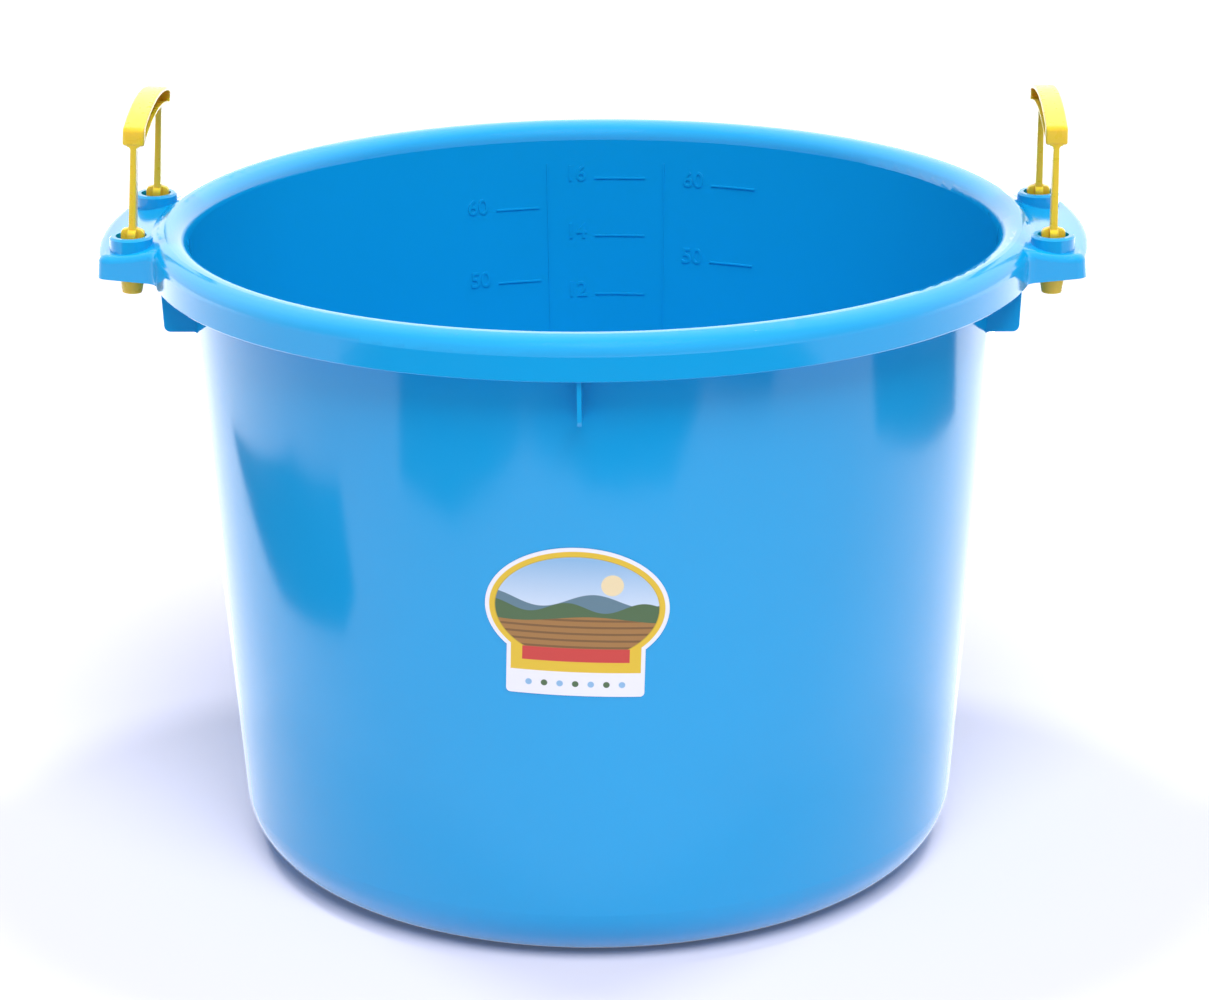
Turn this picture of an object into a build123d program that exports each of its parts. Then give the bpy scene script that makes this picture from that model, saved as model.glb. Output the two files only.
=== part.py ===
from build123d import *
import math
import os

# A round muck tub in one thin moulding, with a moulded handle dropped into two sockets on
# each side. Millimetres, +Z up. The origin is the middle of the base, on the ground.
# The ears that carry the handles point along +X and -X, and the label faces -Y.

quarter_bulge = 1 - math.sqrt(0.5)  # rise of a quarter circle over its chord, for a radius of one
cut_over = 5.0  # how far a cutting shape runs past what it cuts

# Tub shell
tub_height = 404.0
throat_radius = 252.0  # outside of the wall, level with the lower edge of the rim
foot_radius = 224.7  # outside of the wall, carried straight down to the ground
wall = 3.5
floor_thickness = 4.5
heel_radius = 37.0  # outside rounding between the wall and the base
standing_ring_outer = 186.0
standing_ring_width = 34.0
base_lift = 2.0  # the middle of the base stands clear of the ground
ring_slope = 6.0  # width of the slope between the ring and the lifted middle

# Rim, an upside-down channel round the mouth
rim_depth = 25.5
rim_flat = 2.5  # level part on top, between the flare of the mouth and the outer roll
rim_wall = 3.0
roll_width = 9.0  # the outer roll, from the crease on top to the skirt
roll_drop = 11.0
roll_bulge = 2.4  # how far the roll stands out of the straight line between its ends
mouth_flare = 12.0
skirt_edge = 0.5  # bevel along the outer lower edge of the skirt
channel_bevel = 6.0  # inside the flare of the mouth, so that the wall stays even there

# Ears, one each side, hollow from below
ear_reach = 32.5  # beyond the skirt
ear_root_lift = 1.4  # the ear's lower edge above the skirt's, where they meet
ear_rise = 3.5  # the same at the outer edge of the ear
ear_height = 14.0  # of the outer edge
ear_root_lap = 6.0  # how far the ear runs into the rim
ear_root_drop = 2.6  # top of the ear there, below the top of the rim
ear_dish = 1.6  # hollow of the ear's top between the roll and the outer edge
ear_draft = 5.0  # degrees
ear_end_margin = 18.5  # from a handle leg to the end of the ear
ear_end_flare = 7.0  # degrees that each end face turns outwards on its way to the rim
ear_root_radius = 8.0
ear_corner = 7.0
ear_edge = 5.0
ear_wall = 3.0
ear_turn = 50.0  # degrees of turned section that one ear is cut from

# Sockets for the handle legs
socket_offset = 6.0  # from the skirt to the line of the legs
socket_radius = 13.2
socket_wall = 3.8
collar_rise = 1.2  # above the top of the rim
socket_depth = 19.2
ledge_thickness = 3.0
collar_edge = 1.2  # bevel

# Webs between the wall and the skirt
web_thickness = 2.5
web_height = 53.5  # from the top of the rim down to the level part of the web's edge
web_foot = 4.5  # below that level, the web starts inside the wall
web_bend = 4.0
web_corner = 4.0
web_draft = 1.2

# Handles
handle_span = 107.0  # between the legs of one handle
handle_top = 76.5  # above the top of the rim
left_lean = 3.6  # degrees that the left handle leans inwards in its loose sockets
right_lean = 0.0
grip_length = 117.0
grip_rise = 8.5
grip_depth = 11.4
grip_width = 13.2
grip_shell = 2.4
grip_edge = 2.2
grip_end_block = 12.5
leg_thick_top = 3.6
leg_thick_bottom = 4.3
leg_depth = 9.0
leg_root = 1.8  # rounding where a leg runs into the grip
plug_radius = 7.3
plug_rib = 5.0
plug_core = 3.6
shoulder_height = 5.5
shoulder_top = 1.6  # radius of the shoulder's top, which ends inside the leg
shoulder_bulge = 1.0  # the shoulder's knee stands this far out of the straight line
shoulder_lap = 1.8  # straight part of the plug that shows above the collar
neck_radius = 5.0
neck_clearance = 0.8
seat_gap = 0.3  # under the lowest edge of the plug
head_radius = 7.5
head_height = 9.2
head_taper = 8.0  # degrees
head_edge = 0.7  # bevel
head_slit = 2.0
slit_into_neck = 0.7  # share of the neck that the slit runs up
lift_play = 4.5  # from the shoulder of the head up to the ledge

# Label
label_height_middle = 234.0
label_side = -3.6
label_turn = -2.0  # degrees
label_width = 106.0
label_oval_height = 76.0
label_panel_width = 80.0
label_panel_bottom = 55.0  # below the middle of the oval
label_corner = 2.5
label_thickness = 0.2
label_gap = 0.2  # the layer of glue between the film and the wall

# Worked out from the sizes above
rim_lower_edge = tub_height - rim_depth
wall_lean = math.atan2(throat_radius - foot_radius, rim_lower_edge)
mouth_radius = throat_radius + math.tan(wall_lean) * rim_depth - wall
flare_run = mouth_flare / math.tan((math.pi / 2 + wall_lean) / 2)
crest_radius = mouth_radius + flare_run + rim_flat
skirt_outside = crest_radius + roll_width
skirt_inside = skirt_outside - rim_wall
channel_ceiling = tub_height - rim_wall
ear_radius = skirt_outside + ear_reach
ear_low = rim_lower_edge + ear_rise
ear_high = ear_low + ear_height
leg_x = skirt_outside + socket_offset
leg_y = handle_span / 2
collar_top = tub_height + collar_rise
ledge_top = collar_top - socket_depth
ledge_bottom = ledge_top - ledge_thickness
bore_radius = socket_radius - socket_wall
plug_bottom = ledge_top + seat_gap
shoulder_low = collar_top + shoulder_lap
leg_bottom = shoulder_low + shoulder_height
head_top = ledge_bottom - lift_play
head_bottom = head_top - head_height
grip_top = tub_height + handle_top


def wall_outside(z):
    """Radius of the wall's outer face at a height."""
    return foot_radius + (throat_radius - foot_radius) * z / rim_lower_edge


def wall_inside(z):
    return wall_outside(z) - wall


def rounded(face, point, radius):
    """Round the one corner of a flat outline that lies at a point."""
    corner = face.vertices().sort_by_distance(point)[:1]
    return fillet(corner, radius=radius)


def bevelled(face, point, length):
    """Bevel the one corner of a flat outline that lies at a point."""
    corner = face.vertices().sort_by_distance(point)[:1]
    return chamfer(corner, length=length)


def upright(outline):
    """Turn an outline drawn as radius and height into the XZ plane."""
    return Plane.XZ * outline


def turned(face, arc=360.0):
    """Turn an upright outline round the tub's axis, centred on +X where it is part of a turn."""
    solid = revolve(upright(face), axis=Axis.Z, revolution_arc=arc)
    if arc < 360.0:
        solid = Rot(0, 0, -arc / 2) * solid
        if solid.center().X < 0:
            solid = Rot(0, 0, 180) * solid
    return solid


def edge_arc(start, end, bulge):
    """An arc that stands out to the left of the way from start to end, or to the right if negative."""
    run = Vector(*end) - Vector(*start)
    middle = Vector(*start) + run * 0.5
    side = Vector(-run.Y, run.X).normalized()
    top = middle + side * bulge
    return ThreePointArc(start, (top.X, top.Y), end)


def shell_of_revolution():
    """Base, wall and rim in one outline; the rim is still solid between wall and skirt."""
    ring_inner = standing_ring_outer - standing_ring_width
    floor_top = base_lift + floor_thickness
    roll_start = (skirt_outside, tub_height - roll_drop)
    roll_end = (crest_radius, tub_height)
    lip = (mouth_radius, tub_height)
    inner_heel = (wall_inside(floor_top), floor_top)
    outer_heel = (wall_outside(0), 0)
    under_rim = (wall_outside(rim_lower_edge), rim_lower_edge)
    skirt_foot = (skirt_outside, rim_lower_edge)
    outline = (
        Polyline(
            (0, floor_top),
            (0, base_lift),
            (ring_inner - ring_slope, base_lift),
            (ring_inner, 0),
            outer_heel,
            under_rim,
            skirt_foot,
            roll_start,
        )
        + edge_arc(roll_start, roll_end, -roll_bulge)
        + Polyline(roll_end, lip, inner_heel, (0, floor_top))
    )
    face = make_face(outline)
    face = rounded(face, outer_heel, heel_radius)
    face = rounded(face, inner_heel, heel_radius - wall)
    face = rounded(face, lip, mouth_flare)
    face = bevelled(face, skirt_foot, skirt_edge)
    return turned(face)


def rim_channel():
    """The space between the wall and the skirt, open below."""
    below = rim_lower_edge - cut_over
    ceiling_inner = (wall_outside(channel_ceiling), channel_ceiling)
    ceiling_outer = (crest_radius, channel_ceiling)
    shoulder = (skirt_inside, tub_height - roll_drop)
    outline = Polyline(
        (wall_outside(below), below),
        (skirt_inside, below),
        shoulder,
        ceiling_outer,
        ceiling_inner,
        close=True,
    )
    face = make_face(outline)
    return turned(bevelled(face, ceiling_inner, channel_bevel))


def ear_half_width(x):
    """Half the width of an ear along its lower edge; the end faces turn outwards towards the rim."""
    return leg_y + ear_end_margin + math.tan(math.radians(ear_end_flare)) * (leg_x - x)


def ear_plan(inset):
    """Outline of an ear from above, drawn long at both ends, where other surfaces cut it."""
    far = ear_radius + ear_corner
    near = skirt_outside - ear_reach
    half_far = ear_half_width(far) - inset
    half_near = ear_half_width(near) - inset
    corners = [(near, -half_near), (far, -half_far), (far, half_far), (near, half_near)]
    return make_face(Polyline(*corners, close=True))


def ear_section(inset):
    """Section of an ear, turned round the tub's axis. An inset of one wall gives its hollow."""
    root = (skirt_outside - ear_root_lap, tub_height - ear_root_drop - inset)
    edge_out = ear_radius - inset
    lean_in = math.tan(math.radians(ear_draft)) * ear_height
    edge_top = (edge_out - lean_in, ear_high - inset)
    slope = (ear_rise - ear_root_lift) / ear_reach
    low_root = rim_lower_edge + ear_root_lift - slope * ear_root_lap
    low_out = ear_low + slope * (edge_out - ear_radius)
    low_root -= inset
    low_out -= inset
    outline = Polyline(root, (root[0], low_root), (edge_out, low_out), edge_top)
    outline += edge_arc(edge_top, root, ear_dish)
    return turned(make_face(outline), ear_turn)


def ear_block():
    """One ear at +X as a full block, with its corners and top edges rounded."""
    plan = extrude(Pos(0, 0, rim_lower_edge) * ear_plan(0), amount=3 * ear_height, taper=ear_draft)
    block = ear_section(0) & plan
    corners = [
        edge
        for edge in block.edges()
        if edge.center().X > leg_x and edge.bounding_box().size.Z > ear_height / 2
    ]
    block = fillet(corners, ear_corner)
    top = block.faces().sort_by(Axis.Z)[-1]
    rim_side = top.edges().sort_by(Axis.X)[0]
    return fillet([edge for edge in top.edges() if edge != rim_side], ear_edge)


def root_edges(body):
    """The upright edges where the ears' end faces meet the skirt."""
    found = []
    for edge in body.edges():
        middle = edge.center()
        on_skirt = abs(math.hypot(middle.X, middle.Y) - skirt_outside) < rim_wall
        tall = edge.bounding_box().size.Z > ear_height / 2
        if on_skirt and tall and ear_low < middle.Z < tub_height and abs(middle.Y) > leg_y:
            found.append(edge)
    return found


def ear_hollow():
    start = Pos(0, 0, rim_lower_edge - ear_wall) * ear_plan(ear_wall)
    plan = extrude(start, amount=3 * ear_height, taper=ear_draft)
    return ear_section(ear_wall) & plan


def socket_places():
    return [(sx * leg_x, sy * leg_y) for sx in (-1, 1) for sy in (-1, 1)]


def socket_tube(x, y):
    tube = Cylinder(
        socket_radius, collar_top - ledge_bottom, align=(Align.CENTER, Align.CENTER, Align.MIN)
    )
    tube = chamfer(tube.faces().sort_by(Axis.Z)[-1].edges(), collar_edge)
    return Pos(x, y, ledge_bottom) * tube


def socket_bore(x, y):
    upper = Cylinder(bore_radius, socket_depth + cut_over, align=(Align.CENTER, Align.CENTER, Align.MIN))
    hole = Cylinder(
        neck_radius + neck_clearance,
        ledge_thickness + 2 * cut_over,
        align=(Align.CENTER, Align.CENTER, Align.MIN),
    )
    return Pos(x, y, ledge_top) * upper + Pos(x, y, ledge_bottom - cut_over) * hole


def web_slabs():
    """Three upright slabs that the six webs lie in: two under the ends of the ears, one front to back."""
    across = ear_half_width(throat_radius) - ear_wall / 2
    size = 2 * skirt_outside
    slabs = [Pos(0, sign * across, rim_lower_edge) * Box(size, web_thickness, size) for sign in (-1, 1)]
    slabs.append(Pos(0, 0, rim_lower_edge) * Box(web_thickness, size, size))
    return slabs


def web_feet():
    """The webs below the rim, cut from one turned section that starts inside the wall and the rim."""
    level = tub_height - web_height
    tip = level - web_foot
    within = rim_lower_edge + rim_wall
    corner = (skirt_inside - web_draft, level)
    bend = (wall_outside(level), level)
    outline = Polyline(
        (wall_outside(within) - wall / 2, within),
        (wall_outside(tip) - wall / 2, tip),
        bend,
        corner,
        (skirt_inside, rim_lower_edge),
        (skirt_inside, within),
        close=True,
    )
    face = rounded(make_face(outline), corner, web_corner)
    ring = turned(rounded(face, bend, web_bend))
    return [ring & slab for slab in web_slabs()]


def tub():
    """The rim starts solid, and its channel is cut round the webs."""
    body = shell_of_revolution()
    block = ear_block()
    hollow = ear_hollow()
    for turn in (0, 180):
        body += Rot(0, 0, turn) * block
    body = fillet(root_edges(body), ear_root_radius)
    for turn in (0, 180):
        body -= Rot(0, 0, turn) * hollow
    for foot in web_feet():
        body += foot
    channel = rim_channel()
    for slab in web_slabs():
        channel -= slab
    body -= channel
    for place in socket_places():
        body += socket_tube(*place)
    for place in socket_places():
        body -= socket_bore(*place)
    return body


def grip_radius():
    """Radius of the arch along the top of a grip, from its length and rise."""
    half = grip_length / 2
    return (half**2 + grip_rise**2) / (2 * grip_rise)


def grip_underside(y):
    """Height of the arched underside of a grip at a distance from its middle."""
    inner = grip_radius() - grip_depth
    return grip_top - grip_radius() + math.sqrt(inner**2 - y**2)


def arch_band(outer, inner, length):
    """The side view of an arch between two radii, cut off upright at both ends."""
    centre = Pos(0, grip_top - grip_radius())
    window = Pos(0, grip_top) * Rectangle(length, 8 * grip_depth)
    return Plane.YZ * ((centre * Circle(outer) - centre * Circle(inner)) & window)


def grip():
    """An arched channel, hollow below, with a solid block at each end for the leg."""
    radius = grip_radius()
    side = arch_band(radius, radius - grip_depth, grip_length)
    body = extrude(side, amount=grip_width / 2, both=True)
    long_edges = [
        edge
        for edge in body.edges().filter_by(GeomType.CIRCLE)
        if edge.radius > radius - grip_depth / 2 and abs(edge.center().X) > grip_width / 4
    ]
    body = fillet(long_edges, grip_edge)
    side = arch_band(radius - grip_shell, radius - 2 * grip_depth, grip_length - 2 * grip_end_block)
    return body - extrude(side, amount=grip_width / 2 - grip_shell, both=True)


def leg():
    """One tapered leg from inside the grip's end block down to the shoulder, rounded out on top."""
    half_low = leg_thick_bottom / 2
    half_high = leg_thick_top / 2
    foot = leg_bottom - shoulder_height
    root = grip_underside(leg_y + leg_depth / 2)
    inside = root + grip_depth / 2
    bend = (half_high, root - leg_root)
    flare = (half_high + leg_root, root)
    outline = Polyline((0, foot), (half_low, foot), bend) + edge_arc(bend, flare, leg_root * quarter_bulge)
    outline += Polyline(flare, (flare[0], inside), (0, inside), (0, foot))
    half = make_face(outline)
    return extrude(Plane.XZ * (half + mirror(half, Plane.YZ)), amount=leg_depth / 2, both=True)


def plug():
    """Cross-ribbed plug with rounded shoulders, necked down to a slit snap head."""
    shoulder_foot = Vector(plug_radius, shoulder_low)
    shoulder_head = Vector(shoulder_top, leg_bottom)
    slope = shoulder_head - shoulder_foot
    knee = shoulder_foot + slope * 0.5 + Vector(slope.Y, -slope.X).normalized() * shoulder_bulge
    outline = Polyline(
        shoulder_head, (0, leg_bottom), (0, plug_bottom), (plug_radius, plug_bottom), shoulder_foot, knee,
        close=True,
    )
    envelope = turned(make_face(outline))
    tall = 2 * (leg_bottom - plug_bottom)
    cross = Box(plug_rib, 2 * plug_radius, tall) + Box(2 * plug_radius, plug_rib, tall)
    cross += Cylinder(plug_core, tall)
    ribs = envelope & (Pos(0, 0, plug_bottom) * cross)
    neck_length = plug_bottom - head_top
    neck = Pos(0, 0, head_top) * Cylinder(
        neck_radius, neck_length, align=(Align.CENTER, Align.CENTER, Align.MIN)
    )
    head_low_radius = head_radius - math.tan(math.radians(head_taper)) * head_height
    head = Cone(
        head_low_radius, head_radius, head_height, align=(Align.CENTER, Align.CENTER, Align.MIN)
    )
    head = Pos(0, 0, head_bottom) * chamfer(head.faces().sort_by(Axis.Z)[0].edges(), head_edge)
    slit_height = head_height + neck_length * slit_into_neck
    slit = Pos(0, 0, head_bottom) * Box(
        4 * head_radius, head_slit, slit_height, align=(Align.CENTER, Align.CENTER, Align.MIN)
    )
    return ribs + ((neck + head) - slit)


def handle():
    """One handle moulding, upright over the line x = 0."""
    body = grip()
    for sign in (-1, 1):
        body += Pos(0, sign * leg_y, 0) * leg()
    for sign in (-1, 1):
        body += Pos(0, sign * leg_y, 0) * plug()
    return body


def placed_handle(turn, lean):
    """Lean a handle inwards about its seat and set it in the sockets of one ear."""
    seat = Pos(0, 0, plug_bottom)
    raised = Pos(0, 0, plug_radius * math.sin(math.radians(lean)))
    leaning = seat * raised * Rot(0, -lean, 0) * seat.inverse() * handle()
    return Rot(0, 0, turn) * Pos(leg_x, 0, 0) * leaning


def label():
    """A thin printed film on the cone of the wall: an oval over a plain panel."""
    oval = Ellipse(label_width / 2, label_oval_height / 2)
    panel = Pos(0, -label_panel_bottom / 2) * Rectangle(label_panel_width, label_panel_bottom)
    panel = rounded(panel.face(), (-label_panel_width / 2, -label_panel_bottom), label_corner)
    panel = rounded(panel, (label_panel_width / 2, -label_panel_bottom), label_corner)
    outline = Rot(0, 0, label_turn) * (oval + panel)
    cutter = extrude(Plane.XZ * Pos(label_side, label_height_middle) * outline, amount=2 * skirt_outside)
    low = label_height_middle - label_width
    high = label_height_middle + label_width
    face = label_gap + label_thickness
    film_outline = Polyline(
        (wall_outside(low) + label_gap, low),
        (wall_outside(low) + face, low),
        (wall_outside(high) + face, high),
        (wall_outside(high) + label_gap, high),
        close=True,
    )
    arc = math.degrees(2 * label_width / foot_radius)
    return Rot(0, 0, -90) * turned(make_face(film_outline), arc) & cutter


def main():
    os.makedirs("parts", exist_ok=True)
    parts = {
        "tub": tub(),
        "handle_left": placed_handle(180, left_lean),
        "handle_right": placed_handle(0, right_lean),
        "label": label(),
    }
    for name, shape in parts.items():
        shape.label = name
        export_step(shape, f"parts/{name}.step")


main()
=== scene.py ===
"""Looks of a round plastic muck tub with two drop-in handles: a Blender add-on that is run as a script.

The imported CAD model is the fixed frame. Metres, +Z up. The ears that carry the handles point along +X and
-X, and the label faces -Y.
"""

import math

import bmesh
import bpy
from bpy.props import FloatProperty, FloatVectorProperty, IntProperty, PointerProperty
from mathutils import Matrix, Vector


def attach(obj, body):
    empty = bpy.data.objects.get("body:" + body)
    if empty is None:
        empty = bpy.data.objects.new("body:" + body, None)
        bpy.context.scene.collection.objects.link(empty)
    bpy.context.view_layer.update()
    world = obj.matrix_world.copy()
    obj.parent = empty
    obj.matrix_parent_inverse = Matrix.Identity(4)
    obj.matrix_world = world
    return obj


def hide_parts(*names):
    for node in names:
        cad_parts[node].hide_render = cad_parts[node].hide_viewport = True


bl_info = {
    "name": "Muck tub",
    "version": (1, 0, 0),
    "blender": (4, 5, 0),
    "location": "View3D > Sidebar > Muck tub",
    "description": "Dresses the packed muck tub with its plastics, marks, label, handles and stage",
    "category": "Object",
}

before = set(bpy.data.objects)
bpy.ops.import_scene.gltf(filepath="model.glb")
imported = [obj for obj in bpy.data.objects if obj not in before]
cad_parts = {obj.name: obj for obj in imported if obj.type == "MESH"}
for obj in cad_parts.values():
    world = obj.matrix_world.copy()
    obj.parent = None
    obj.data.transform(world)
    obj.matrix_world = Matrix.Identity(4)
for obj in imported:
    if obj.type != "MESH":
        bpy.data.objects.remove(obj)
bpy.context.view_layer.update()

MM = 0.001
HAIR = 0.01 * MM  # room for rounding errors, where the place of a point is tested
NOISE_SPAN = {"From Min": 0.3, "From Max": 0.7}  # where the values of a noise mostly lie


def linear(text):
    """Turn an sRGB hex colour into the linear one that the shaders take."""
    parts = [int(text[i : i + 2], 16) / 255 for i in (0, 2, 4)]
    return tuple(c / 12.92 if c <= 0.04045 else ((c + 0.055) / 1.055) ** 2.4 for c in parts)


def length(title, text, default):
    """A size that a user may change, kept in metres and given here in millimetres."""
    return FloatProperty(name=title, description=text, default=default * MM, unit="LENGTH", precision=4)


def angle(title, text, default):
    """An angle that a user may change, given here in degrees."""
    return FloatProperty(name=title, description=text, default=math.radians(default), subtype="ANGLE")


def colour(title, text, default):
    """A colour that a user may change, given here as sRGB hex."""
    return FloatVectorProperty(
        name=title, description=text, default=linear(default), subtype="COLOR", min=0, max=1
    )


class TubSizes(bpy.types.PropertyGroup):
    """The wall of the tub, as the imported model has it, and the scale that is moulded on its inside."""

    foot_radius: length("Foot radius", "Outside of the wall, carried straight down to the ground", 224.7)
    throat_radius: length("Throat radius", "Outside of the wall at the lower edge of the rim", 252.0)
    throat_height: length("Throat height", "Height of the lower edge of the rim", 378.5)
    wall: length("Wall", "Thickness of the wall", 3.5)
    floor: length("Floor", "Height of the top of the floor", 6.5)
    mark_rise: length("Mark height", "How far the scale stands out of the wall", 0.8)
    mark_sink: length("Mark root", "How far the scale reaches into the wall", 0.6)
    mark_line: length("Mark line", "Width of the raised lines of the scale", 1.3)
    mark_digit: length("Digit height", "Height of the raised digits of the scale", 10.5)
    digit_drop: length("Digit drop", "How far the foot of a digit is below its line", 1.5)
    digit_stroke: length("Digit stroke", "How much each side of a digit's strokes is thickened", 0.15)
    digit_gap: angle("Digit gap", "Turn round the tub between a number and its line", 1.3)
    rule_low: length("Rule foot", "Lower end of the upright rules between the columns", 60.0)
    rule_high: length("Rule top", "Upper end of the upright rules between the columns", 377.0)


class HandleSizes(bpy.types.PropertyGroup):
    """One handle moulding, standing upright in its sockets."""

    line: length("Line of the legs", "Distance of the legs from the tub's axis", 279.0)
    half_span: length("Half span", "Half the distance between the legs", 53.5)
    top: length("Top", "Height of the crown of the grip", 480.4)
    grip: length("Grip length", "Length of the grip", 117.0)
    rise: length("Grip rise", "How far the grip arches up", 8.5)
    depth: length("Grip depth", "Depth of the grip from top to bottom", 11.4)
    width: length("Grip width", "Width of the grip", 13.2)
    corner: length("Grip corner", "Radius of the ends of the grip, seen from the side", 2.4)
    edge: length("Grip edge", "Rounding of the long edges of the grip", 1.6)
    shell: length("Grip shell", "Wall round the pocket that opens the grip towards the tub", 2.2)
    end_wall: length("End wall", "Wall at each end of the pocket", 5.0)
    pocket_corner: length("Pocket corner", "Radius of the corners of the pocket", 3.0)
    leg_top: length("Leg, top", "Thickness of a leg below the grip", 3.6)
    leg_low: length("Leg, bottom", "Thickness of a leg above the plug", 4.3)
    leg_depth: length("Leg depth", "Depth of a leg along the grip", 9.0)
    leg_edge: length("Leg edge", "Rounding of the upright edges of a leg", 0.5)
    flare: length("Leg flare", "Radius between a leg and the underside of the grip", 2.2)
    shoulder: length("Shoulder", "Height where the plug starts to round in", 406.3)
    shoulder_corner: length("Shoulder corner", "Radius of the outer corners of the plug's ribs", 2.8)
    shoulder_rise: length("Shoulder rise", "Slope of the top of the ribs up to the leg", 0.5)
    shoulder_fillet: length("Shoulder fillet", "Radius between the ribs and the leg", 1.4)
    plug: length("Plug radius", "Radius round the ribs of the plug", 7.3)
    plug_foot: length("Plug foot", "Height of the lower end of the ribs", 386.3)
    plug_edge: length("Plug edge", "Rounding of the edges of the ribs", 0.4)
    rib: length("Rib", "Thickness of the plug's ribs", 5.0)
    core: length("Core", "Radius of the plug between its ribs", 3.6)
    neck: length("Neck", "Radius of the neck through the ledge", 5.0)
    head: length("Head", "Radius of the snap head at its shoulder", 7.5)
    head_tip: length("Head tip", "Radius of the snap head at its lower end", 6.2)
    head_edge: length("Head edge", "Rounding of the snap head's shoulder and lower end", 0.6)
    head_high: length("Head shoulder", "Height of the shoulder of the snap head", 378.5)
    head_low: length("Head foot", "Height of the lower end of the snap head", 369.3)
    slit: length("Slit", "Width of the slit that lets the head spring", 2.0)
    left_lean: angle("Lean of the left handle", "How far it leans inwards in its loose sockets", 3.6)


class LabelSizes(bpy.types.PropertyGroup):
    """The printed film on the front of the tub."""

    side: length("Side", "How far the label is off the middle", -3.6)
    height: length("Height", "Height of the middle of the oval", 234.0)
    width: length("Width", "Width of the oval", 106.0)
    oval: length("Oval height", "Height of the oval", 76.0)
    panel: length("Panel width", "Width of the panel below the oval", 80.0)
    panel_low: length("Panel reach", "How far the panel goes below the middle of the oval", 55.0)
    corner: length("Panel corner", "Radius of the panel's lower corners", 2.5)
    edge: length("White edge", "Film left white round the yellow ring", 2.4)
    ring: length("Ring", "Width of the yellow ring", 3.0)
    ring_line: length("Ring line", "Width of the darker line inside the ring", 0.5)
    gap: length("Glue", "Layer of glue between the film and the wall", 0.2)
    film: length("Film", "Thickness of the film", 0.2)
    turn: angle("Turn", "How far the label is stuck on askew", -2)


class Finishes(bpy.types.PropertyGroup):
    """Colours of the plastics, the print and the backdrop."""

    tub: colour("Tub", "Blue of the moulded tub", "0CA2DE")
    handle: colour("Handles", "Yellow of the moulded handles", "EBCB32")
    film: colour("Label film", "White of the label's film", "F1F1F4")
    ring: colour("Label ring", "Yellow of the label's ring", "E6C12C")
    band: colour("Label band", "Red of the label's band", "CE3F35")
    sky: colour("Label sky", "Blue of the label's upper field", "8FBBDD")
    hill: colour("Label hills", "Green of the label's hills", "4D6B42")
    field: colour("Label field", "Brown of the label's lower field", "A4763A")
    backdrop: colour("Backdrop", "Paper under and behind the tub", "DCDAE8")
    flag: colour("Flags", "Felt of the studio flags", "4A505C")


class TubScene(bpy.types.PropertyGroup):
    """Everything that this file can change."""

    sizes: PointerProperty(type=TubSizes)
    handles: PointerProperty(type=HandleSizes)
    label: PointerProperty(type=LabelSizes)
    finishes: PointerProperty(type=Finishes)
    round_steps: IntProperty(
        name="Round steps", description="Sides of a round part of a handle", default=48, min=12
    )


def settings():
    return bpy.context.scene.muck_tub


# Mesh work


def activate(piece):
    bpy.ops.object.select_all(action="DESELECT")
    piece.select_set(True)
    bpy.context.view_layer.objects.active = piece


def edit_whole(piece):
    """Open a piece in edit mode with all of it selected."""
    activate(piece)
    bpy.ops.object.mode_set(mode="EDIT")
    bpy.ops.mesh.select_all(action="SELECT")


def leave_edit():
    bpy.ops.object.mode_set(mode="OBJECT")


def newest(name):
    """The object that an operator has just made, under a name."""
    piece = bpy.context.active_object
    piece.name = name
    piece.data.name = name
    return piece


def move_points(piece, rule):
    """Move every vertex to where a rule says."""
    for vertex in piece.data.vertices:
        vertex.co = rule(vertex.co)
    piece.data.update()


def turn_outwards(piece):
    edit_whole(piece)
    bpy.ops.mesh.remove_doubles(threshold=HAIR / 2)
    bpy.ops.mesh.normals_make_consistent(inside=False)
    leave_edit()


def bevel_edges(piece, test, width, steps):
    """Bevel the edges whose two ends pass a test."""
    edit_whole(piece)
    bpy.ops.mesh.select_mode(type="EDGE")
    mesh = bmesh.from_edit_mesh(piece.data)
    for edge in mesh.edges:
        edge.select_set(test(edge.verts[0].co, edge.verts[1].co))
    bmesh.update_edit_mesh(piece.data)
    bpy.ops.mesh.bevel(offset=width, segments=steps, affect="EDGES", clamp_overlap=True)
    leave_edit()


def slice_across(piece, places):
    """Cut a piece across X at each of the places, and keep both sides."""
    edit_whole(piece)
    for x in places:
        bpy.ops.mesh.select_all(action="SELECT")
        bpy.ops.mesh.bisect(plane_co=(x, 0, 0), plane_no=(1, 0, 0))
    leave_edit()


def polygon(name, corners):
    """One flat face through a ring of corners."""
    bpy.ops.mesh.primitive_circle_add(vertices=len(corners), radius=1, fill_type="NGON")
    piece = newest(name)
    for vertex, corner in zip(piece.data.vertices, corners):
        vertex.co = corner
    piece.data.update()
    return piece


def thicken(piece, step):
    """Extrude a flat face into a slab."""
    edit_whole(piece)
    bpy.ops.mesh.extrude_region_move(TRANSFORM_OT_translate={"value": step})
    leave_edit()
    turn_outwards(piece)
    return piece


def raise_face(piece, stations):
    """Extrude a face along Z, from the first station to the last, and close it into one solid.

    A station is its height and half its size across X and across Y.
    """
    edit_whole(piece)
    for last, this in zip(stations, stations[1:]):
        bpy.ops.mesh.extrude_region_move(TRANSFORM_OT_translate={"value": (0, 0, this[0] - last[0])})
        scale = (this[1] / last[1], this[2] / last[2], 1)
        bpy.ops.transform.resize(value=scale, center_override=(0, 0, this[0]))
    leave_edit()
    turn_outwards(piece)
    return piece


def drawn(name, stations):
    """A bar whose section is a rectangle at each station."""
    bpy.ops.mesh.primitive_plane_add(size=2)
    piece = newest(name)
    height, half_x, half_y = stations[0]
    move_points(piece, lambda co: Vector((co.x * half_x, co.y * half_y, height)))
    return raise_face(piece, stations)


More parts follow.
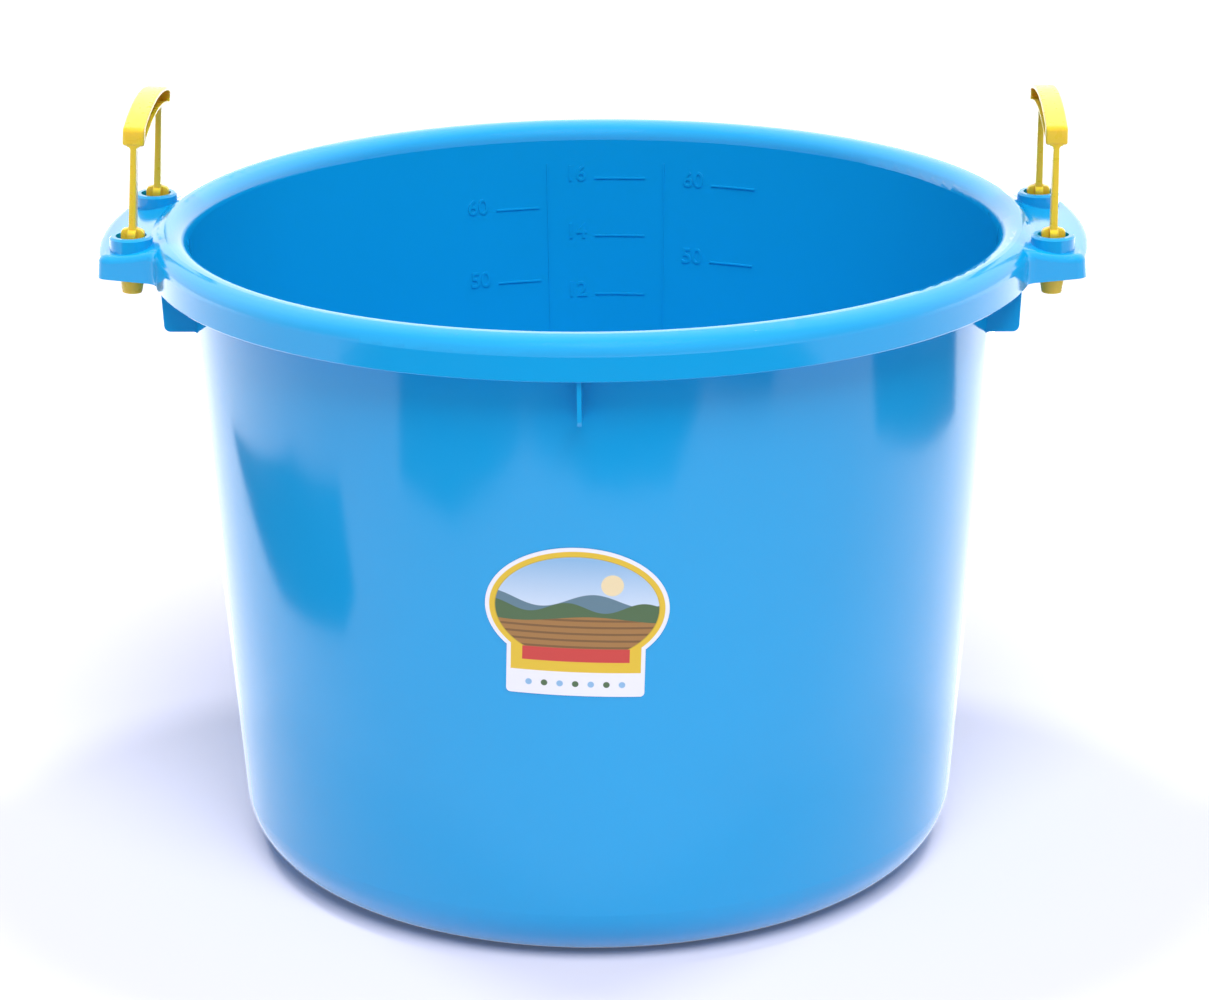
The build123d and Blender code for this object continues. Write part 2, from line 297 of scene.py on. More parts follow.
def lathed(name, rings, sides):
    """A round solid from a stack of rings, each a radius and a height."""
    bpy.ops.mesh.primitive_circle_add(vertices=sides, radius=rings[0][0], fill_type="NGON")
    piece = newest(name)
    move_points(piece, lambda co: co + Vector((0, 0, rings[0][1])))
    return raise_face(piece, [(height, radius, radius) for radius, height in rings])


def boxed(name, low, high):
    """A box between two corners, for cutting and for crossing with other solids."""
    bpy.ops.mesh.primitive_cube_add(size=1)
    piece = newest(name)
    low, high = Vector(low), Vector(high)
    move_points(piece, lambda co: (low + high) / 2 + co * (high - low))
    return piece


def apply_modifier(piece, kind, **values):
    modifier = piece.modifiers.new(kind.lower(), kind)
    for key, value in values.items():
        setattr(modifier, key, value)
    activate(piece)
    bpy.ops.object.modifier_apply(modifier=modifier.name)


def combine(piece, other, operation):
    """Join, cut or cross a piece with another solid, which is used up."""
    apply_modifier(piece, "BOOLEAN", operation=operation, solver="EXACT", object=other)
    bpy.data.objects.remove(other)
    return piece


def copied(piece, name):
    made = piece.copy()
    made.data = piece.data.copy()
    made.name = name
    made.data.name = name
    bpy.context.scene.collection.objects.link(made)
    return made


def smooth(piece, widest=35):
    """Shade smooth across every edge up to the widest angle, in degrees."""
    activate(piece)
    bpy.ops.object.shade_smooth_by_angle(angle=math.radians(widest))


def finish_piece(piece, body, material):
    """Give a piece its material and body, and the record's material slot."""
    piece.data.materials.clear()
    piece.data.materials.append(material)
    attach(piece, body)


# Materials


def node(tree, kind, inputs=None, **properties):
    """Add one node, set its properties, and set or link its sockets.

    A socket is named, or numbered among those in use. Another node as its value means that node's first
    output in use.
    """
    made = tree.nodes.new("ShaderNode" + kind)
    for key, value in properties.items():
        setattr(made, key, value)
    used = [socket for socket in made.inputs if socket.enabled]
    for key, value in (inputs or {}).items():
        socket = used[key] if isinstance(key, int) else next(s for s in used if s.name == key)
        if isinstance(value, bpy.types.Node):
            value = next(s for s in value.outputs if s.enabled)
        if isinstance(value, bpy.types.NodeSocket):
            tree.links.new(value, socket)
        else:
            socket.default_value = value
    return made


def empty_material(name):
    material = bpy.data.materials.new(name)
    material.use_nodes = True
    material.node_tree.nodes.clear()
    return material, material.node_tree


def shade(base, share=1.0, lift=0.0):
    """A colour for a socket: each channel of the base scaled and lifted."""
    return (*[min(1.0, c * share + lift) for c in base], 1)


def moulded_plastic(name, base, tone, shades, haze, roughness, peel, bump, sockets):
    """The skin of an injection moulding, with patches of tone, a haze in its gloss and an orange peel.

    Each of the three is a size in millimetres and a detail. Tone runs between two shares of the base, haze
    between two values of roughness, and peel is a bump of a strength and a height in millimetres.
    """
    material, tree = empty_material(name)
    point = node(tree, "TexCoord").outputs["Object"]
    tone, haze, peel = [
        node(tree, "TexNoise", {"Vector": point, "Scale": 1 / (size * MM), "Detail": detail})
        for size, detail in (tone, haze, peel)
    ]
    dark, light = [shade(base, share) for share in shades]
    rough = {"Value": haze, **NOISE_SPAN, "To Min": roughness[0], "To Max": roughness[1]}
    shader = node(
        tree,
        "BsdfPrincipled",
        {
            "Base Color": node(tree, "Mix", {"Factor": tone, "A": dark, "B": light}, data_type="RGBA"),
            "Roughness": node(tree, "MapRange", rough),
            "Normal": node(tree, "Bump", {"Height": peel, "Strength": bump[0], "Distance": bump[1] * MM}),
            **sockets,
        },
    )
    node(tree, "OutputMaterial", {"Surface": shader})
    return material


def tub_plastic(base):
    """High-density polyethylene, injection moulded in a polished tool: glossy, with soft-edged reflections.

    The melt leaves broad, faint patches of tone. The skin has a slight orange peel of about 4 mm, which
    only softens the highlights.
    """
    return moulded_plastic(
        "blue_moulded_polyethylene",
        base,
        tone=(90, 3.0),
        shades=(0.97, 1.03),
        haze=(25, 2.0),
        roughness=(0.1, 0.13),
        peel=(4, 1.0),
        bump=(0.03, 0.2),
        sockets={"IOR": 1.52},
    )


def handle_plastic(base):
    """Nylon, injection moulded: satin, and a little clear, so that thin and inner parts look deeper yellow.

    Light goes a few millimetres into it, red furthest and blue least.
    """
    return moulded_plastic(
        "yellow_moulded_nylon",
        base,
        tone=(30, 2.0),
        shades=(0.96, 1.03),
        haze=(6, 2.0),
        roughness=(0.26, 0.34),
        peel=(4, 0.0),
        bump=(0.02, 0.1),
        sockets={
            "IOR": 1.53,
            "Subsurface Weight": 0.7,
            "Subsurface Radius": (1.0, 0.6, 0.05),
            "Subsurface Scale": 6 * MM,
        },
    )


def label_print(sizes, finishes):
    """Polypropylene film, printed and varnished: flat ink under a satin coat.

    A plain picture of its own: a low sun over rolling hills and a striped field in a yellow ring, with a
    red band and a row of dots on the panel below. It has no words.
    """
    material, tree = empty_material("printed_polypropylene_film")
    place = node(
        tree,
        "Mapping",
        {
            "Vector": node(tree, "TexCoord").outputs["Object"],
            "Location": (sizes.side, 0, sizes.height),
            "Rotation": (0, -sizes.turn, 0),
        },
        vector_type="TEXTURE",
    )
    flat = node(tree, "VectorMath", {0: place, 1: (1, 0, 1)}, operation="MULTIPLY")
    axes = node(tree, "SeparateXYZ", {"Vector": flat})
    x, z = axes.outputs["X"], axes.outputs["Z"]
    bleed = 0.15 * MM
    oval_bleed = 0.004  # the same, as a share of half the oval

    def inside(distance, edge=0.0, blur=bleed):
        """1 where a distance is below an edge, with a blur as wide as ink bleeds."""
        ends = {"From Min": edge - blur, "From Max": edge + blur, "To Min": 1.0, "To Max": 0.0}
        return node(tree, "MapRange", {"Value": distance, **ends})

    def oval(inset):
        """1 inside the film's oval, drawn in by an inset."""
        half_x, half_z = sizes.width / 2 - inset, sizes.oval / 2 - inset
        unit = node(tree, "VectorMath", {0: flat, 1: (1 / half_x, 0, 1 / half_z)}, operation="MULTIPLY")
        return inside(node(tree, "VectorMath", {0: unit}, operation="LENGTH"), 1.0, oval_bleed)

    def disc(middle_x, middle_z, radius):
        far = node(tree, "VectorMath", {0: flat, 1: (middle_x, 0, middle_z)}, operation="DISTANCE")
        return inside(far, radius)

    def strip(low, high, half):
        """1 inside a level strip between two heights."""
        off = node(tree, "VectorMath", {0: flat, 1: (0, 0, (low + high) / 2)}, operation="SUBTRACT")
        off = node(tree, "VectorMath", {0: off}, operation="ABSOLUTE")
        off = node(tree, "VectorMath", {0: off, 1: (half, 0, (high - low) / 2)}, operation="SUBTRACT")
        past = node(tree, "SeparateXYZ", {"Vector": off}).outputs
        return inside(node(tree, "Math", {0: past["X"], 1: past["Z"]}, operation="MAXIMUM"))

    def below_wave(height, size, swing, shift):
        """1 below a wavy line, from its height, its wave's length and swing, and the shift of its phase."""
        turn = node(tree, "Math", {0: x, 1: 2 * math.pi / size, 2: shift}, operation="MULTIPLY_ADD")
        swell = node(tree, "Math", {0: turn}, operation="SINE")
        line = node(tree, "Math", {0: swell, 1: swing, 2: height}, operation="MULTIPLY_ADD")
        return inside(node(tree, "Math", {0: z, 1: line}, operation="SUBTRACT"))

    def printed(below, inks):
        """Lay inks on what is below, one after another, each where its mask is 1."""
        for ink, mask in inks:
            below = node(tree, "Mix", {"Factor": mask, "A": below, "B": ink}, data_type="RGBA")
        return below

    sky, hill, field, ring = finishes.sky, finishes.hill, finishes.field, finishes.ring
    far_hill = Vector(hill) * 0.3 + Vector(sky) * 0.35
    high_sky = 30 * MM  # where the sky has its full blue
    furrow_step = 4.2 * MM
    furrow_share = 0.55  # the sine of a furrow's phase above which it is dark
    dot_step, dot_height, dot_radius = 9 * MM, -47.5 * MM, 1.9 * MM

    full_sky = node(tree, "MapRange", {"Value": z, "From Min": 0.0, "From Max": high_sky})
    ground = below_wave(-7 * MM, 90 * MM, 2 * MM, 1.0)
    phase = node(tree, "Math", {0: z, 1: 2 * math.pi / furrow_step}, operation="MULTIPLY")
    ridge = node(tree, "Math", {0: phase}, operation="SINE")
    furrow = node(tree, "Math", {0: ridge, 1: furrow_share}, operation="GREATER_THAN")
    picture = printed(
        shade(sky, 0.5, 0.5),
        (
            (shade(sky), full_sky),
            (shade(ring, 0.6, 0.4), disc(20 * MM, 15 * MM, 6.5 * MM)),
            (shade(far_hill), below_wave(5 * MM, 60 * MM, 4 * MM, 0.6)),
            (shade(hill), below_wave(0.5 * MM, 44 * MM, 3 * MM, 2.4)),
            (shade(field), ground),
            (shade(field, 0.55), node(tree, "Math", {0: ground, 1: furrow}, operation="MULTIPLY")),
        ),
    )
    design = printed(
        shade(finishes.film),
        (
            (shade(ring), oval(sizes.edge)),
            (shade(ring), strip(-40 * MM, -18 * MM, sizes.panel / 2 - sizes.edge)),
            (shade(ring, 0.75), oval(sizes.edge + sizes.ring)),
            (picture, oval(sizes.edge + sizes.ring + sizes.ring_line)),
            (shade(finishes.band), strip(-33.5 * MM, -25 * MM, 31 * MM)),
            *[
                (shade(sky if step % 2 else hill), disc(step * dot_step, dot_height, dot_radius))
                for step in range(-3, 4)
            ],
        ),
    )
    satin = {"Base Color": design, "Roughness": 0.38, "IOR": 1.49, "Coat Weight": 0.15}
    node(tree, "OutputMaterial", {"Surface": node(tree, "BsdfPrincipled", satin)})
    return material


def backdrop_paper(base):
    """Seamless white backdrop paper, matte.

    The camera sees it a little over-exposed. In gloss it is brighter behind the tub, where the studio's
    white walls stand close to the paper.
    """
    material, tree = empty_material("matte_backdrop_paper")
    camera_glow = 0.03
    gloss_glow = {"From Min": -0.3, "From Max": 1.1, "To Min": 0.25, "To Max": 1.9}  # along Y, in metres
    seen = node(tree, "LightPath").outputs
    place = node(tree, "SeparateXYZ", {"Vector": node(tree, "TexCoord").outputs["Object"]})
    rising = node(tree, "MapRange", {"Value": place.outputs["Y"], **gloss_glow})
    to_camera = node(tree, "Math", {0: seen["Is Camera Ray"], 1: camera_glow}, operation="MULTIPLY")
    share = {0: seen["Is Glossy Ray"], 1: rising, 2: to_camera}
    glow = node(tree, "Emission", {"Strength": node(tree, "Math", share, operation="MULTIPLY_ADD")})
    paper = node(tree, "BsdfDiffuse", {"Color": shade(base), "Roughness": 0.5})
    node(tree, "OutputMaterial", {"Surface": node(tree, "AddShader", {0: paper, 1: glow})})
    return material


def flag_cloth(base):
    """Black felt of a studio flag, which only shows as a dark patch in the gloss of the tub."""
    material, tree = empty_material("black_flag_felt")
    felt = node(tree, "BsdfDiffuse", {"Color": shade(base), "Roughness": 0.8})
    node(tree, "OutputMaterial", {"Surface": felt})
    return material


# Pieces


def wall_slope(sizes):
    """How much the radius of the wall grows for each metre of height."""
    return (sizes.throat_radius - sizes.foot_radius) / sizes.throat_height


def wall_radius(sizes, height, outside=True):
    """Radius of the wall's outer or inner face at a height."""
    radius = sizes.foot_radius + wall_slope(sizes) * height
    return radius if outside else radius - sizes.wall


def level_of(sizes, litres):
    """Height that a number of litres fills the tub to, from the cone of its inside."""
    lost_litres = 1.8  # taken by the rounded heel, and by the water line standing a little below its mark
    slope = wall_slope(sizes)
    low = wall_radius(sizes, sizes.floor, outside=False)
    volume = (litres + lost_litres) * MM
    high = (3 * slope * volume / math.pi + low**3) ** (1 / 3)
    return (high - wall_radius(sizes, 0, outside=False)) / slope


def quarter(steps):
    """Angles that divide a quarter turn into equal steps, both ends included."""
    return [math.pi / 2 * step / steps for step in range(steps + 1)]


class TUB_OT_shell(bpy.types.Operator):
    """Give the moulded tub, rim, ears and sockets their plastic"""

    bl_idname = "muck_tub.shell"
    bl_label = "Tub"

    def execute(self, context):
        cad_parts["tub"].material_slots[0].material = tub_plastic(settings().finishes.tub)
        return {"FINISHED"}


class TUB_OT_marks(bpy.types.Operator):
    """Raise the lines and numbers of the filling scale on the inside of the back wall"""

    bl_idname = "muck_tub.marks"
    bl_label = "Filling scale"

    # quarts, gallons and litres: the angles of the lines' left and right ends in degrees, the step
    # between numbers, the highest number, and the litres in one
    columns = (
        (-17.5, -10.5, 10, 60, 0.9464),
        (-1.6, 6.4, 2, 16, 3.7854),
        (17.2, 24.5, 10, 60, 1.0),
    )
    rules = (-9.1, 9.4)  # angles of the upright rules between the columns, in degrees
    line_parts = 8  # short lengths in a level line, so that it follows the wall
    face_share = 0.75  # width of a line's raised face against its root, between sloping sides
    font_share = 1.4  # size of the font against the height of its digits

    def execute(self, context):
        sizes = settings().sizes
        half = sizes.mark_line / 2
        raised = []
        for left, right, step, most, litres in self.columns:
            for number in range(step, most + 1, step):
                height = level_of(sizes, number * litres)
                raised.append(self.line(sizes, left, right, height - half, height + half, self.line_parts))
                raised.append(self.digits(sizes, str(number), left, height))
        turn = math.degrees(half / wall_radius(sizes, sizes.throat_height))
        low, high = sizes.rule_low, sizes.rule_high
        for middle in self.rules:
            raised.append(self.line(sizes, middle - turn, middle + turn, low, high, 1))
        activate(raised[0])
        for piece in raised:
            piece.select_set(True)
        bpy.ops.object.join()
        marks = newest("capacity_marks")
        turn_outwards(marks)
        smooth(marks)
        finish_piece(marks, "tub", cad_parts["tub"].material_slots[0].material)
        return {"FINISHED"}

    def on_wall(self, sizes, degrees, height, out):
        """A point on the inside of the back wall, or a little out of it."""
        radius = wall_radius(sizes, height, outside=False) - out
        turn = math.radians(degrees)
        return Vector((radius * math.sin(turn), radius * math.cos(turn), height))

    def line(self, sizes, left, right, low, high, parts):
        """A raised line with sloping long sides: level in several parts, or upright in one."""
        bpy.ops.mesh.primitive_cube_add(size=1)
        piece = newest("line")
        slice_across(piece, [part / parts - 0.5 for part in range(1, parts)])

        def place(co):
            out = co.y < 0
            narrowed = self.face_share if out else 1.0
            wide, tall = (1.0, narrowed) if parts > 1 else (narrowed, 1.0)
            degrees = (left + right) / 2 + co.x * wide * (right - left)
            height = (low + high) / 2 + co.z * tall * (high - low)
            return self.on_wall(sizes, degrees, height, sizes.mark_rise if out else -sizes.mark_sink)

        move_points(piece, place)
        return piece

    def digits(self, sizes, text, left, height):
        """Raised digits to the left of a line."""
        bpy.ops.object.text_add()
        letters = bpy.context.active_object
        letters.data.body = text
        letters.data.size = sizes.mark_digit * self.font_share
        letters.data.align_x = "RIGHT"
        letters.data.align_y = "BOTTOM_BASELINE"
        letters.data.extrude = sizes.mark_rise / 2
        letters.data.offset = sizes.digit_stroke
        activate(letters)
        bpy.ops.object.convert(target="MESH")
        piece = newest("digits")
        around = wall_radius(sizes, height, outside=False)

        def place(co):
            degrees = left - math.degrees(sizes.digit_gap - co.x / around)
            out = sizes.mark_rise if co.z > 0 else -sizes.mark_sink
            return self.on_wall(sizes, degrees, height - sizes.digit_drop + co.y, out)

        move_points(piece, place)
        return piece


class TUB_OT_handles(bpy.types.Operator):
    """Model one handle and stand a copy in the sockets of each ear"""

    bl_idname = "muck_tub.handles"
    bl_label = "Handles"

    def execute(self, context):
        sizes = settings().handles
        upright = self.moulding(sizes)
        material = handle_plastic(settings().finishes.handle)
        out = Matrix.Translation((sizes.line, 0, 0))
        seat = Matrix.Translation((0, 0, sizes.plug_foot))
        raised = Matrix.Translation((0, 0, sizes.plug * math.sin(sizes.left_lean)))
        lean = seat @ raised @ Matrix.Rotation(-sizes.left_lean, 4, "Y") @ seat.inverted()
        places = {"handle_right": out, "handle_left": Matrix.Rotation(math.pi, 4, "Z") @ out @ lean}
        for body, place in places.items():
            piece = copied(upright, body + "_moulding")
            piece.data.transform(place)
            finish_piece(piece, body, material)
            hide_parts(body)
        bpy.data.objects.remove(upright)
        return {"FINISHED"}

    def moulding(self, sizes):
        """One handle, upright over the line x = 0."""
        body = self.grip(sizes)
        for side in (-1, 1):
            self.join_at(body, self.leg(sizes, side), side)
        open_side, back = -sizes.width, sizes.width / 2 - sizes.shell
        pocket = self.band(
            sizes, "pocket", sizes.shell, sizes.end_wall, open_side, back, sizes.pocket_corner
        )
        combine(body, pocket, "DIFFERENCE")
        for side in (-1, 1):
            self.join_at(body, self.plug(sizes), side)
            self.join_at(body, self.head(sizes), side)
        turn_outwards(body)
        smooth(body)
        # large flat faces keep their own normals beside small rounded ones
        apply_modifier(body, "WEIGHTED_NORMAL", keep_sharp=True)
        return body

    def join_at(self, body, part, side):
        """Fuse a part with the moulding on the line of one of its two legs."""
        part.data.transform(Matrix.Translation((0, side * settings().handles.half_span, 0)))
        combine(body, part, "UNION")

    def arch(self, sizes, y):
        """Height of the top of the grip at a distance from its middle."""
        half = sizes.grip / 2
        radius = (half**2 + sizes.rise**2) / (2 * sizes.rise)
        return sizes.top - radius + math.sqrt(radius**2 - y**2)

    def band(self, sizes, name, inset, end, low, high, corner):
        """A slab from one x to another, with round corners.

        Its outline is the grip's side view, drawn in by an inset above and below and by an end wall.
        """
        half = sizes.grip / 2 - end
        steps = 24
        across = [half * (2 * step / steps - 1) for step in range(steps + 1)]
        outline = [(low, y, self.arch(sizes, y) - inset) for y in across]
        outline += [(low, y, self.arch(sizes, y) - sizes.depth + inset) for y in reversed(across)]
        piece = thicken(polygon(name, outline), (high - low, 0, 0))

        def corner_edge(a, b):
            return abs(a.x - b.x) > (high - low) / 2 and min(abs(a.y), abs(b.y)) > half - HAIR

        bevel_edges(piece, corner_edge, corner, 5)
        return piece

    def grip(self, sizes):
        """The arched bar, rounded all round its two sides, before its pocket is cut."""
        side_face = sizes.width / 2
        bar = self.band(sizes, "grip", 0, 0, -side_face, side_face, sizes.corner)

        def side_edge(a, b):
            return min(abs(a.x), abs(b.x)) > side_face - HAIR and a.x * b.x > 0

        bevel_edges(bar, side_edge, sizes.edge, 4)
        return bar

    def leg(self, sizes, side):
        """A flat leg, thicker towards its foot, with a concave flare that follows the arch of the grip."""
        outer = sizes.half_span + sizes.leg_depth / 2
        root = self.arch(sizes, outer) - sizes.depth
        half = sizes.leg_depth / 2
        stations = [(root + sizes.shell / 2, sizes.leg_top / 2 + sizes.flare, half)]
        for turn in quarter(6):
            wide = sizes.leg_top / 2 + sizes.flare * (1 - math.sin(turn))
            stations.append((root - sizes.flare * (1 - math.cos(turn)), wide, half))
        stations.append((sizes.shoulder, sizes.leg_low / 2, half))
        leg = drawn("leg", stations)

        def follow_arch(co):
            if co.z < root - 0.99 * sizes.flare:
                return co
            lift = self.arch(sizes, sizes.half_span + side * co.y) - self.arch(sizes, outer)
            return co + Vector((0, 0, lift))

        move_points(leg, follow_arch)

        def upright_edge(a, b):
            return abs(a.z - b.z) > 5 * HAIR and min(abs(a.y), abs(b.y)) > 0.99 * half and a.y * b.y > 0

        bevel_edges(leg, upright_edge, sizes.leg_edge, 3)
        return leg

    def plug(self, sizes):
        """Crossed ribs in a round outline, with round outer corners and a small fillet up to the leg."""
        corner, fillet = sizes.shoulder_corner, sizes.shoulder_fillet
        rings = [(sizes.plug, sizes.plug_foot), (sizes.plug, sizes.shoulder)]
        for turn in quarter(5)[1:]:
            radius = sizes.plug - corner * (1 - math.cos(turn))
            rings.append((radius, sizes.shoulder + corner * math.sin(turn)))
        flat = sizes.shoulder + corner + sizes.shoulder_rise
        for turn in quarter(5):
            radius = sizes.leg_low / 2 + fillet * (1 - math.sin(turn))
            rings.append((radius, flat + fillet * (1 - math.cos(turn))))
        outline = lathed("outline", rings, settings().round_steps)
        low, high = sizes.plug_foot - 1 * MM, flat + 2 * fillet
        half, reach = sizes.rib / 2, sizes.plug * 1.1
        cross = boxed("rib", (-half, -reach, low), (half, reach, high))
        combine(cross, boxed("rib", (-reach, -half, low), (reach, half, high)), "UNION")
        core = lathed("core", [(sizes.core, low), (sizes.core, high)], settings().round_steps // 2)
        combine(cross, core, "UNION")
        combine(cross, outline, "INTERSECT")
        sharp = math.radians(50)
        apply_modifier(
            cross, "BEVEL", width=sizes.plug_edge, segments=2, limit_method="ANGLE", angle_limit=sharp
        )
        return cross

    def head(self, sizes):
        """The neck and the slit snap head below the ledge."""
        edge = sizes.head_edge
        rings = [
            (sizes.head_tip - edge, sizes.head_low),
            (sizes.head_tip - edge * 0.3, sizes.head_low + edge * 0.3),
            (sizes.head_tip, sizes.head_low + edge),
            (sizes.head - edge * 0.1, sizes.head_high - edge),
            (sizes.head - edge * 0.4, sizes.head_high - edge * 0.3),
            (sizes.head - edge, sizes.head_high),
            (sizes.neck, sizes.head_high + HAIR),
            (sizes.neck, sizes.plug_foot + 1 * MM),
        ]
        head = lathed("head", rings, settings().round_steps)
        reach, half = sizes.head * 2, sizes.slit / 2
        low = sizes.head_low - 1 * MM
        high = sizes.head_high + 0.7 * (sizes.plug_foot - sizes.head_high)
        return combine(head, boxed("slit", (-reach, -half, low), (reach, half, high)), "DIFFERENCE")


class TUB_OT_label(bpy.types.Operator):
    """Cut the label's film to shape and lay it on the cone of the front wall"""

    bl_idname = "muck_tub.label"
    bl_label = "Label"

    def execute(self, context):
        sizes = settings().label
        film = self.cut_film(sizes)
        self.lay_on_wall(film, sizes)
        turn_outwards(film)
        smooth(film)
        finish_piece(film, "tub", label_print(sizes, settings().finishes))
        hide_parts("label")
        return {"FINISHED"}

    def cut_film(self, sizes):
        """The flat film, standing in the XZ plane with its back at y = 0: an oval over a panel."""
        upright = Matrix.Rotation(math.pi / 2, 4, "X")
        low = Matrix.Translation((0, -sizes.panel_low / 2, 0))
        bpy.ops.mesh.primitive_circle_add(vertices=128, radius=0.5, fill_type="NGON")
        film = newest("label_print")
        film.data.transform(upright @ Matrix.Diagonal((sizes.width, sizes.oval, 1, 1)))
        thicken(film, (0, -sizes.film, 0))
        bpy.ops.mesh.primitive_plane_add(size=1)
        panel = newest("panel")
        panel.data.transform(upright @ low @ Matrix.Diagonal((sizes.panel, sizes.panel_low, 1, 1)))
        thicken(panel, (0, -sizes.film, 0))

        def low_corner(a, b):
            return abs(a.y - b.y) > sizes.film / 2 and max(a.z, b.z) < -sizes.panel_low / 2

        bevel_edges(panel, low_corner, sizes.corner, 5)
        return combine(film, panel, "UNION")

    def lay_on_wall(self, film, sizes):
        """Turn the film a little, cut it into upright strips, and push it straight back on to the wall."""
        turn = Matrix.Rotation(-sizes.turn, 4, "Y")
        film.data.transform(Matrix.Translation((sizes.side, 0, sizes.height)) @ turn)
        strips = 36
        slice_across(film, [sizes.side + sizes.width * (cut / strips - 0.5) for cut in range(1, strips)])
        tub = settings().sizes

        def back(co):
            radius = wall_radius(tub, co.z) + sizes.gap - co.y
            return Vector((co.x, -math.sqrt(radius**2 - co.x**2), co.z))

        move_points(film, back)


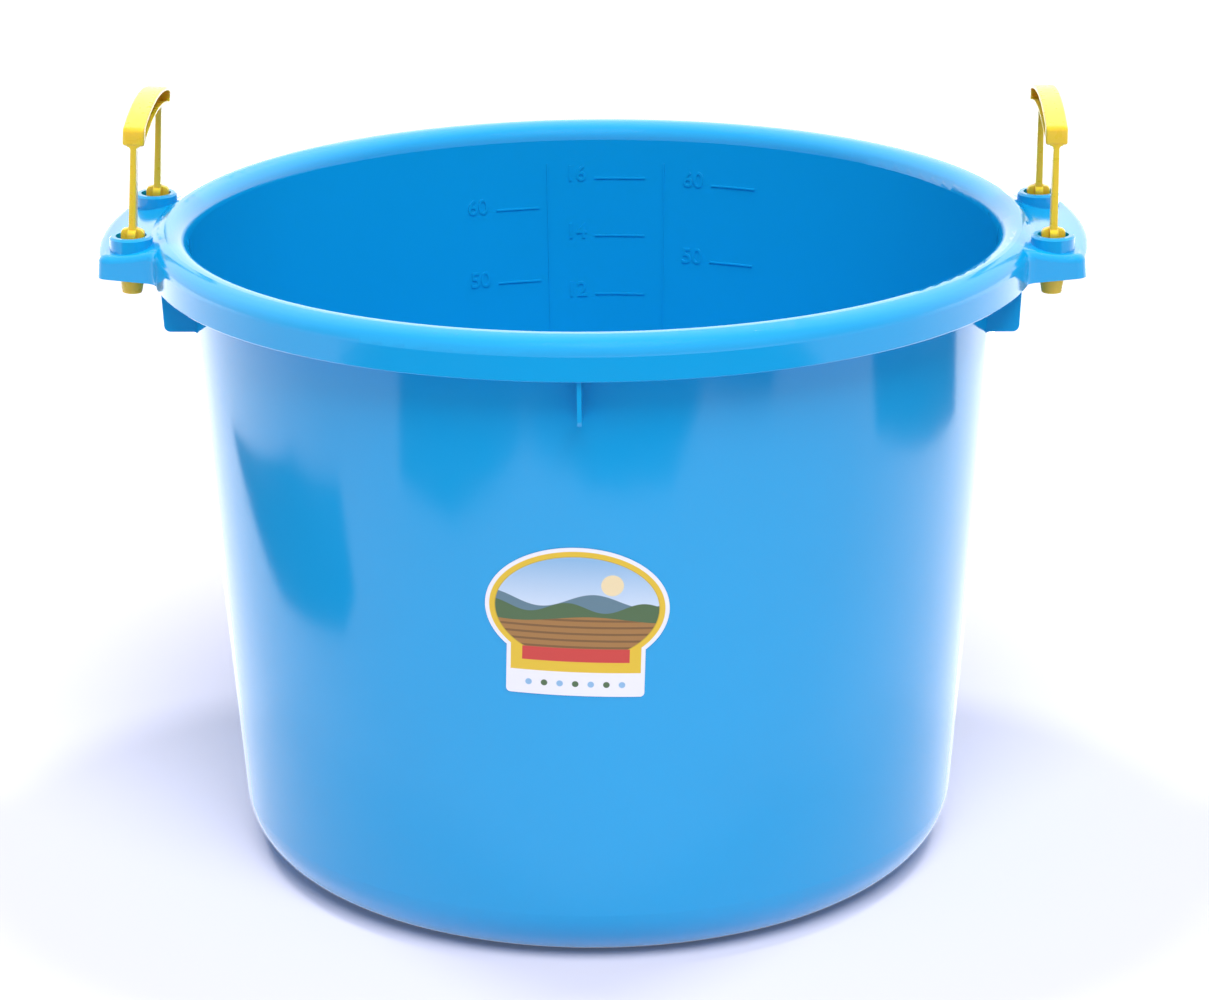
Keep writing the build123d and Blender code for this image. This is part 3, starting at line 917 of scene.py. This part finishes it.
class TUB_OT_stage(bpy.types.Operator):
    """Lay the floor, light it softly and stand the camera where the photograph was taken"""

    bl_idname = "muck_tub.stage"
    bl_label = "Stage"

    floor_size = 24
    flag_height = 4 * MM
    flag_corners = {  # on the floor beside the tub, in metres
        "left": (
            (-0.84, 0.4), (-0.88, -0.08), (-0.77, -0.33), (-0.57, -0.31), (-0.53, -0.25), (-0.61, 0.0),
        ),
        "right": ((1.2, -0.3), (1.15, 0.5), (0.84, 0.42), (0.9, -0.18)),
        "front": (
            (-1.3, -0.75), (-0.82, -0.74), (-0.64, -0.57), (-0.44, -0.66), (-0.24, -0.9), (0.1, -0.86),
            (0.3, -0.8), (0.5, -0.9), (0.72, -0.7), (1.2, -0.8), (1.5, -2.5), (-1.5, -2.5),
        ),
    }
    lamps = {  # where each distant lamp stands, how wide it looks in degrees and how strong it is
        "front": ((0.1, -0.53, 0.84), 35, 2.4),
        "left": ((-0.33, 0.12, 0.94), 9, 0.95),
        "right": ((0.33, 0.12, 0.94), 9, 0.95),
    }
    lamp_distance = 3
    # the camera, found from the rim, wall and base in the photograph: metres, radians and pixels
    camera_place = (0.0725, -2.2227, 0.9726)
    camera_turn, camera_pitch, camera_roll = 0.0301706, 0.3273, -0.0089
    focal_pixels, photo_width = 3700, 1209

    def execute(self, context):
        bpy.ops.mesh.primitive_plane_add(size=self.floor_size)
        floor = newest("floor")
        floor.data.materials.append(backdrop_paper(settings().finishes.backdrop))
        self.set_flags()
        self.light_world(context.scene)
        self.hang_lamps()
        context.scene.camera = self.stand_camera()
        context.scene.view_settings.view_transform = "Standard"
        return {"FINISHED"}

    def set_flags(self):
        """Lay felt flags beside the tub, out of the frame, for the dark patches in the gloss of its wall."""
        felt = flag_cloth(settings().finishes.flag)
        for name, corners in self.flag_corners.items():
            flag = polygon("flag_" + name, [(x, y, self.flag_height) for x, y in corners])
            flag.data.materials.append(felt)
            flag.visible_camera = False
            flag.visible_diffuse = False
            flag.visible_shadow = False

    def light_world(self, scene):
        """White where it is seen, brighter in gloss behind the tub, and softer as a light."""
        scene.world = bpy.data.worlds.new("studio")
        scene.world.use_nodes = True
        tree = scene.world.node_tree
        tree.nodes.clear()
        path = node(tree, "LightPath").outputs
        light = node(tree, "Background", {"Color": (0.92, 0.93, 1.0, 1), "Strength": 0.38})
        seen = node(tree, "Background", {"Color": (1, 1, 1, 1), "Strength": 1.0})
        toward = node(tree, "SeparateXYZ", {"Vector": node(tree, "TexCoord").outputs["Generated"]})
        gloss_span = {"From Min": -0.3, "From Max": 0.4, "To Min": 0.8, "To Max": 1.9}
        behind = node(tree, "MapRange", {"Value": toward.outputs["Y"], **gloss_span})
        gloss = node(tree, "Background", {"Color": (0.98, 0.96, 1.0, 1), "Strength": behind})
        straight = {0: path["Is Camera Ray"], 1: path["Is Transmission Ray"]}
        straight = node(tree, "Math", straight, operation="MAXIMUM")
        plain = node(tree, "MixShader", {"Fac": straight, 1: light, 2: seen})
        mixed = node(tree, "MixShader", {"Fac": path["Is Glossy Ray"], 1: plain, 2: gloss})
        node(tree, "OutputWorld", {"Surface": mixed})

    def hang_lamps(self):
        for name, (place, width, strength) in self.lamps.items():
            bpy.ops.object.light_add(type="SUN", location=Vector(place) * self.lamp_distance)
            lamp = bpy.context.active_object
            lamp.name = "lamp_" + name
            lamp.data.angle = math.radians(width)
            lamp.data.energy = strength
            lamp.visible_glossy = False
            lamp.rotation_euler = Vector(place).to_track_quat("Z", "Y").to_euler()

    def stand_camera(self):
        bpy.ops.object.camera_add()
        camera = bpy.context.active_object
        camera.name = "camera"
        level = Matrix.Rotation(self.camera_turn, 4, "Z")
        aim = level @ Matrix.Rotation(math.pi / 2 - self.camera_pitch, 4, "X")
        roll = Matrix.Rotation(self.camera_roll, 4, "Z")
        camera.matrix_world = Matrix.Translation(self.camera_place) @ aim @ roll
        camera.data.sensor_fit = "HORIZONTAL"
        camera.data.sensor_width = 36
        camera.data.lens = self.focal_pixels / self.photo_width * camera.data.sensor_width
        camera.data.clip_end = 60
        return camera


class TUB_PT_panel(bpy.types.Panel):
    """Buttons for each group of pieces, and the sizes and colours"""

    bl_label = "Muck tub"
    bl_idname = "TUB_PT_panel"
    bl_space_type = "VIEW_3D"
    bl_region_type = "UI"
    bl_category = "Muck tub"

    def draw(self, context):
        for operator in OPERATORS:
            self.layout.operator(operator.bl_idname)
        self.layout.prop(settings(), "round_steps")
        for group in (settings().sizes, settings().handles, settings().label, settings().finishes):
            box = self.layout.box()
            for name in group.__annotations__:
                box.prop(group, name)


OPERATORS = (TUB_OT_shell, TUB_OT_marks, TUB_OT_handles, TUB_OT_label, TUB_OT_stage)
CLASSES = (TubSizes, HandleSizes, LabelSizes, Finishes, TubScene, *OPERATORS, TUB_PT_panel)


def register():
    for item in CLASSES:
        bpy.utils.register_class(item)
    bpy.types.Scene.muck_tub = PointerProperty(type=TubScene)


def unregister():
    del bpy.types.Scene.muck_tub
    for item in reversed(CLASSES):
        bpy.utils.unregister_class(item)


def main():
    register()
    bpy.ops.muck_tub.shell()
    bpy.ops.muck_tub.marks()
    bpy.ops.muck_tub.handles()
    bpy.ops.muck_tub.label()
    bpy.ops.muck_tub.stage()


if __name__ == "__main__":
    main()
